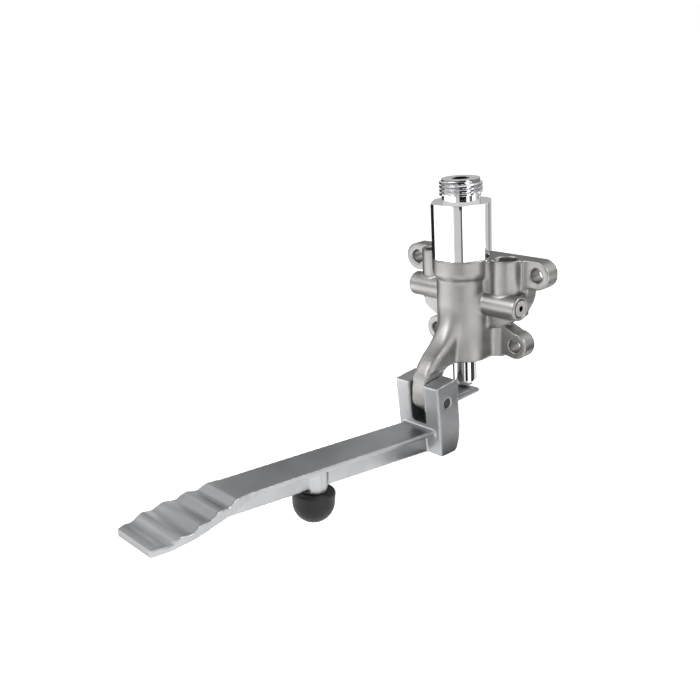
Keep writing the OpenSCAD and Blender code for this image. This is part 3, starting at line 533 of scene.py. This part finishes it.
def castBody():
    # the body as it leaves the mould: hollow corners run into each other and edges are rounded,
    # while cut faces stay true; the joined parts aren't bored, so the root fills the guide bore
    # and the blocks beside the collar narrow the inlets' bores
    body = weldedCopy("valve_body", "bodyCasting")
    clearRoot(body)
    parts = [sweepRoot(), *fillCorners()]
    pick(body)
    for part in parts:
        part.select_set(True)
    bpy.ops.object.join()
    applyModifier(body, "REMESH", mode="VOXEL", voxel_size=bodyCast["voxel"])
    places, hollow = hollowWeights(body, bodyCast["filletRings"])
    free = (~cutFaces(places)).astype(float)
    smoothPart(body, hollow * free, bodyCast["filletPasses"])
    smoothPart(body, inBox(places, *bodyCast["corner"]).astype(float), bodyCast["cornerPasses"])
    smoothPart(body, free * smoothing["skinWeight"], bodyCast["skinPasses"])
    smoothByAngle(body, bodyCast["smoothAngle"])
    dress(body, finish["bodyCastMetal"])
    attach(body, "valve_base")
    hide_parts("valve_body")


# the pedal's casting; the pin's y and z, and the radius round it that stays as it is
pedalCast = {
    "voxel": 0.5 * mm, "filletRings": 3, "filletPasses": 8, "skinPasses": 3, "smoothAngle": 40,
    "pin": (-45.3 * mm, -58.5 * mm), "pinHole": 2.9 * mm,
}


def castPedal():
    pedal = weldedCopy("pedal", "pedalCasting")
    applyModifier(pedal, "REMESH", mode="VOXEL", voxel_size=pedalCast["voxel"])
    places, hollow = hollowWeights(pedal, pedalCast["filletRings"])
    fromPin = np.hypot(places[:, 1] - pedalCast["pin"][0], places[:, 2] - pedalCast["pin"][1])
    free = (fromPin > pedalCast["pinHole"]).astype(float)
    smoothPart(pedal, hollow * free, pedalCast["filletPasses"])
    smoothPart(pedal, free * smoothing["skinWeight"], pedalCast["skinPasses"])
    smoothByAngle(pedal, pedalCast["smoothAngle"])
    dress(pedal, finish["pedalCastMetal"])
    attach(pedal, "pedal_lever")
    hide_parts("pedal")


castBody()
castPedal()
print("castings smoothed")

# G1/2 outside thread, 1.814 mm pitch and 20.955 mm over the crests: radii of its crest and root, the
# height of its start, its turns and the steps of each, half the ridge's foot as a share of the pitch,
# the crest's width as a share of the foot's, how deep the ridge is sunk into the core, along its
# length and at its ends, and the share of a turn over which it rises at each end
outletThread = {
    "pitch": 1.814 * mm, "crest": 10.46 * mm, "root": 9.32 * mm, "start": 36.5 * mm, "turns": 4,
    "steps": 72, "half": 0.46, "flat": 0.45, "sunk": 0.4 * mm, "fadeSunk": 0.2 * mm, "fade": 0.3,
    "smoothAngle": 35,
}
# the barrel: where the neck is turned down to the thread's root, a ring-shaped tool that is wider
# and longer than the thread, the radius that the hexagon's corners are turned to, and the broken edges
barrelTurning = {
    "neckFrom": 35.65 * mm, "toolRadius": 14 * mm, "toolTop": 47 * mm, "coreFrom": 34 * mm,
    "coreTop": 48 * mm, "corner": 15.1 * mm, "cornerFrom": -40 * mm, "cornerTop": 60 * mm,
    "edge": 0.22 * mm, "edgeSegments": 3, "flatAngle": 1, "smoothAngle": 14, "edgeAngle": 18,
}


def turnBarrel():
    # the chrome barrel with its corners turned, its edges broken and its thread's neck at the core
    spec = barrelTurning
    barrel = weldedCopy("outlet_barrel", "outletFitting")
    openEdit(barrel)
    bpy.ops.mesh.dissolve_limited(angle_limit=radians(spec["flatAngle"]))
    closeEdit()
    ring = drum(spec["neckFrom"], spec["toolTop"], spec["toolRadius"])
    trim(ring, drum(spec["coreFrom"], spec["coreTop"], outletThread["root"]))
    trim(barrel, ring)
    trim(barrel, drum(spec["cornerFrom"], spec["cornerTop"], spec["corner"]), "INTERSECT")
    smoothByAngle(barrel, spec["smoothAngle"])
    applyModifier(barrel, "BEVEL", width=spec["edge"], segments=spec["edgeSegments"], limit_method="ANGLE",
                  angle_limit=radians(spec["edgeAngle"]), harden_normals=True)
    # chrome with painted shade in the bore
    dress(barrel, finish["chromeWithPaintedBoreShade"])
    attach(barrel, "valve_base")
    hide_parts("outlet_barrel")


def windThread(name, spec):
    # one V-shaped ridge wound along a thread, sunk into its core at both ends
    half = spec["pitch"] * spec["half"]
    flat = half * spec["flat"]
    buried = spec["root"] - spec["sunk"]
    section = [(buried, half), (spec["root"], half), (spec["crest"], flat),
               (spec["crest"], -flat), (spec["root"], -half), (buried, -half)]
    ridge = addShape(bpy.ops.mesh.primitive_circle_add, vertices=len(section), radius=half, fill_type="NGON")
    ridge.name = name
    settle(ridge)
    for vertex, (out, height) in zip(ridge.data.vertices, section):
        vertex.co = (out, 0, height)
    applyModifier(ridge, "SCREW", steps=spec["steps"], render_steps=spec["steps"], angle=tau,
                  screw_offset=spec["pitch"], iterations=spec["turns"], use_merge_vertices=False,
                  use_normal_calculate=True)
    rings = len(ridge.data.vertices) // len(section)
    lead = spec["steps"] * spec["fade"]
    low = spec["root"] - spec["fadeSunk"]
    for index, vertex in enumerate(ridge.data.vertices):
        ring = index // len(section)
        rise = min(1.0, ring / lead, (rings - 1 - ring) / lead)
        out = np.hypot(vertex.co.x, vertex.co.y)
        if out > low:
            share = (low + (out - low) * rise) / out
            vertex.co.x *= share
            vertex.co.y *= share
    openEdit(ridge)
    bpy.ops.mesh.fill_holes(sides=len(section))
    bpy.ops.mesh.normals_make_consistent(inside=False)
    closeEdit()
    ridge.location = (*valveAxis, spec["start"])
    settle(ridge)
    smoothByAngle(ridge, spec["smoothAngle"])
    return ridge


turnBarrel()
outletRidge = windThread("outletThread", outletThread)
dress(outletRidge, finish["chromePlate"])
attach(outletRidge, "valve_base")
print("outlet barrel and thread")

# springs: the joint that closes each one up, the height of its fixed end and its stroke
springs = {
    "return_spring": ("plunger_slide", 24 * mm, 5.2 * mm),
    "check_spring_left": ("left_check_slide", -8.9 * mm, 1.5 * mm),
    "check_spring_right": ("right_check_slide", -8.9 * mm, 1.5 * mm),
}
springSmoothAngle = 40
for node, (joint, fixed, stroke) in springs.items():
    low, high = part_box(node)
    coil = weldedCopy(node, node + "Coil")
    smoothByAngle(coil, springSmoothAngle)
    dress(coil, finish["drawnSteel"])
    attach(coil, "valve_base")
    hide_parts(node)
    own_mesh(coil)
print("springs")

# the photograph's camera: 47.7 degrees round from the front, 19.5 degrees up, rolled a little
shot = {
    "azimuth": 47.72, "elevation": 19.47, "roll": -3.84,
    "place": (0.27095, -0.3407, 0.1099), "lens": 45.06, "sensor": 36.0, "clipStart": 0.01,
}


def towards(azimuth, elevation=0):
    # a unit vector away from the object; the azimuth is 0 at the front and grows towards +X
    turn, lift = radians(azimuth), radians(elevation)
    return Vector((sin(turn) * cos(lift), -cos(turn) * cos(lift), sin(lift)))


def aimCamera():
    bpy.ops.object.camera_add()
    camera = bpy.context.object
    camera.name = "photoCamera"
    camera.data.lens = shot["lens"]
    camera.data.sensor_width = shot["sensor"]
    camera.data.clip_start = shot["clipStart"]
    back = towards(shot["azimuth"], shot["elevation"])
    right = (-back).cross(Vector((0, 0, 1))).normalized()
    up = right.cross(-back)
    roll = radians(shot["roll"])
    across = cos(roll) * right + sin(roll) * up
    upright = -sin(roll) * right + cos(roll) * up
    camera.matrix_world = Matrix((across, upright, back)).transposed().to_4x4()
    camera.location = shot["place"]
    bpy.context.scene.camera = camera


aimCamera()
bpy.context.scene.view_settings.view_transform = "Standard"
# the room: a pale floor under the pedal, a sky that is white to the camera and in mirrors but
# dimmer as a light, and the place that the softboxes point at
studio = {
    "floorHeight": -0.108, "floorSize": 12.0, "floorSides": 96, "floorInset": 0.6,
    "floorColour": (0.86, 0.86, 0.86), "floorGlow": 0.70, "sky": 0.38, "seenSky": 1.0,
    "aimAt": (0, -0.06, -0.02),
}


def showsBackdrop(tree):
    # 1 where the ray comes straight from the camera or by way of metal or glass
    path = tree.nodes.new("ShaderNodeLightPath")
    seen = path.outputs["Is Camera Ray"]
    for kind in ("Is Glossy Ray", "Is Transmission Ray"):
        seen = mathNode(tree, "MAXIMUM", seen, path.outputs[kind])
    return seen


def emptyMaterial(name):
    # a material with nothing but its output
    material = bpy.data.materials.new(name)
    material.use_nodes = True
    tree = material.node_tree
    tree.nodes.clear()
    return material, tree, tree.nodes.new("ShaderNodeOutputMaterial").inputs["Surface"]


def layFloor():
    floor = addShape(bpy.ops.mesh.primitive_circle_add, vertices=studio["floorSides"],
                     radius=studio["floorSize"], fill_type="NGON", location=(0, 0, studio["floorHeight"]))
    floor.name = "studioFloor"
    openEdit(floor)
    bpy.ops.mesh.inset(thickness=studio["floorSize"] * studio["floorInset"])
    closeEdit()
    material, tree, surface = emptyMaterial("paleFloor")
    matt = tree.nodes.new("ShaderNodeBsdfDiffuse")
    matt.inputs["Color"].default_value = (*studio["floorColour"], 1)
    glow = tree.nodes.new("ShaderNodeEmission")
    tree.links.new(mathNode(tree, "MULTIPLY", showsBackdrop(tree), studio["floorGlow"]),
                   glow.inputs["Strength"])
    both = tree.nodes.new("ShaderNodeAddShader")
    tree.links.new(matt.outputs[0], both.inputs[0])
    tree.links.new(glow.outputs[0], both.inputs[1])
    tree.links.new(both.outputs[0], surface)
    dress(floor, material)


def paintSky():
    world = bpy.data.worlds.new("softRoom")
    bpy.context.scene.world = world
    world.use_nodes = True
    tree = world.node_tree
    back = tree.nodes["Background"]
    back.inputs["Color"].default_value = (1, 1, 1, 1)
    level = tree.nodes.new("ShaderNodeMapRange")
    level.inputs["To Min"].default_value = studio["sky"]
    level.inputs["To Max"].default_value = studio["seenSky"]
    tree.links.new(showsBackdrop(tree), level.inputs["Value"])
    tree.links.new(level.outputs["Result"], back.inputs["Strength"])


# softboxes: azimuth and elevation as seen from the object, distance, width and height, power, colour
softboxes = {
    "keyBox": dict(azimuth=-25, elevation=42, distance=0.95, size=(0.55, 0.75), power=3.6,
                   colour=(1.0, 0.985, 0.965)),
    "rightBox": dict(azimuth=115, elevation=34, distance=0.95, size=(0.30, 0.5), power=3.2,
                     colour=(0.96, 0.98, 1.0)),
    "topBox": dict(azimuth=40, elevation=85, distance=0.9, size=(0.7, 0.7), power=1.6,
                   colour=(1.0, 1.0, 1.0)),
}


def hangSoftbox(name, azimuth, elevation, distance, size, power, colour):
    away = towards(azimuth, elevation)
    bpy.ops.object.light_add(type="AREA", location=Vector(studio["aimAt"]) + away * distance)
    lamp = bpy.context.object
    lamp.name = name
    lamp.data.shape = "RECTANGLE"
    lamp.data.size, lamp.data.size_y = size
    lamp.data.energy = power
    lamp.data.color = colour
    lamp.rotation_euler = away.to_track_quat("Z", "Y").to_euler()


# cards that give the metal its dark and bright edges, and that only mirrored rays see; each stands
# round the valve's axis: azimuths from and to, heights from and to, distance, brightness
cards = {
    "barrelLeftCard": (-118, -76, -0.075, 0.02, 0.20, 0.02),
    "barrelCornerCard": (10, 37, -0.075, 0.008, 0.20, 0.62),
    "barrelEdgeCard": (37, 46, -0.075, 0.008, 0.20, 0.12),
    "barrelSideCard": (131, 150, -0.075, 0.004, 0.20, 0.62),
    "barrelRightCard": (150, 172, -0.075, 0.004, 0.20, 0.34),
    "barrelBackCard": (-170, -140, -0.10, 0.0, 0.30, 0.62),
    "outletCard": (31, 70, 0.0172, 0.045, 0.09, 0.01),
    "outletSideCard": (88, 106, 0.0172, 0.045, 0.09, 0.12),
    "outletLeftCard": (-76, -40, 0.0045, 0.04, 0.20, 0.30),
    "outletFrontCard": (-40, -4, 0.0045, 0.04, 0.20, 0.28),
    "outletNearCard": (-4, 31, 0.0045, 0.04, 0.20, 0.20),
    "outletRightCard": (108, 148, 0.0045, 0.04, 0.20, 0.22),
    "outletBackCard": (148, 192, 0.0045, 0.04, 0.20, 0.22),
    "columnCard": (118, 152, -0.107, -0.048, 0.125, 0.12),
    "pusherLimbCard": (-112, -74, -0.107, -0.074, 0.10, 0.02),
    "pusherLeftCard": (-26, -9, -0.107, -0.074, 0.08, 0.02),
    "pusherMidCard": (22, 38, -0.107, -0.074, 0.10, 0.25),
    "pusherRightCard": (45, 70, -0.107, -0.074, 0.10, 0.02),
    "armCard": (100, 132, -0.107, -0.056, 0.075, 0.05),
    "columnGlowCard": (-82, -22, -0.095, -0.033, 0.14, 2.2),
    "pusherBackCard": (172, 202, -0.107, -0.074, 0.10, 0.06),
    "skyCard": (-180, -100, 0.03, 0.30, 0.50, 0.65),
    "highSkyCard": (-180, -100, 0.30, 1.0, 0.50, 0.45),
}
# flat ones: lowest corner, highest corner, height, brightness
flatCards = {
    "underCard": ((0.012, -0.052), (0.05, 0.0), -0.1, 0.03),
    "lidCard": ((-0.5, -0.5), (0.5, 0.5), 0.6, 0.45),
    "outletLidCard": ((-0.045, -0.065), (0.045, 0.03), 0.12, 0.16),
}


def paintCard(card, name, brightness):
    card.name = name
    settle(card)
    material, tree, surface = emptyMaterial(name + "Paint")
    glow = tree.nodes.new("ShaderNodeEmission")
    glow.inputs["Strength"].default_value = brightness
    tree.links.new(glow.outputs[0], surface)
    dress(card, material)
    card.visible_camera = False
    card.visible_shadow = False
    card.visible_diffuse = False


def standCard(name, start, end, low, high, distance, brightness):
    away = towards((start + end) / 2)
    middle = Vector((*valveAxis, (low + high) / 2))
    card = addShape(bpy.ops.mesh.primitive_plane_add, size=1, location=middle + away * distance)
    card.rotation_euler = away.to_track_quat("Z", "Y").to_euler()
    card.scale = (2 * distance * tan(radians(end - start) / 2), high - low, 1)
    paintCard(card, name, brightness)


def layCard(name, low, high, height, brightness):
    middle = ((low[0] + high[0]) / 2, (low[1] + high[1]) / 2, height)
    card = addShape(bpy.ops.mesh.primitive_plane_add, size=1, location=middle)
    card.scale = (high[0] - low[0], high[1] - low[1], 1)
    paintCard(card, name, brightness)


layFloor()
paintSky()
for name, values in softboxes.items():
    hangSoftbox(name, **values)
for name, values in cards.items():
    standCard(name, *values)
for name, values in flatCards.items():
    layCard(name, *values)
print("camera, floor and light")
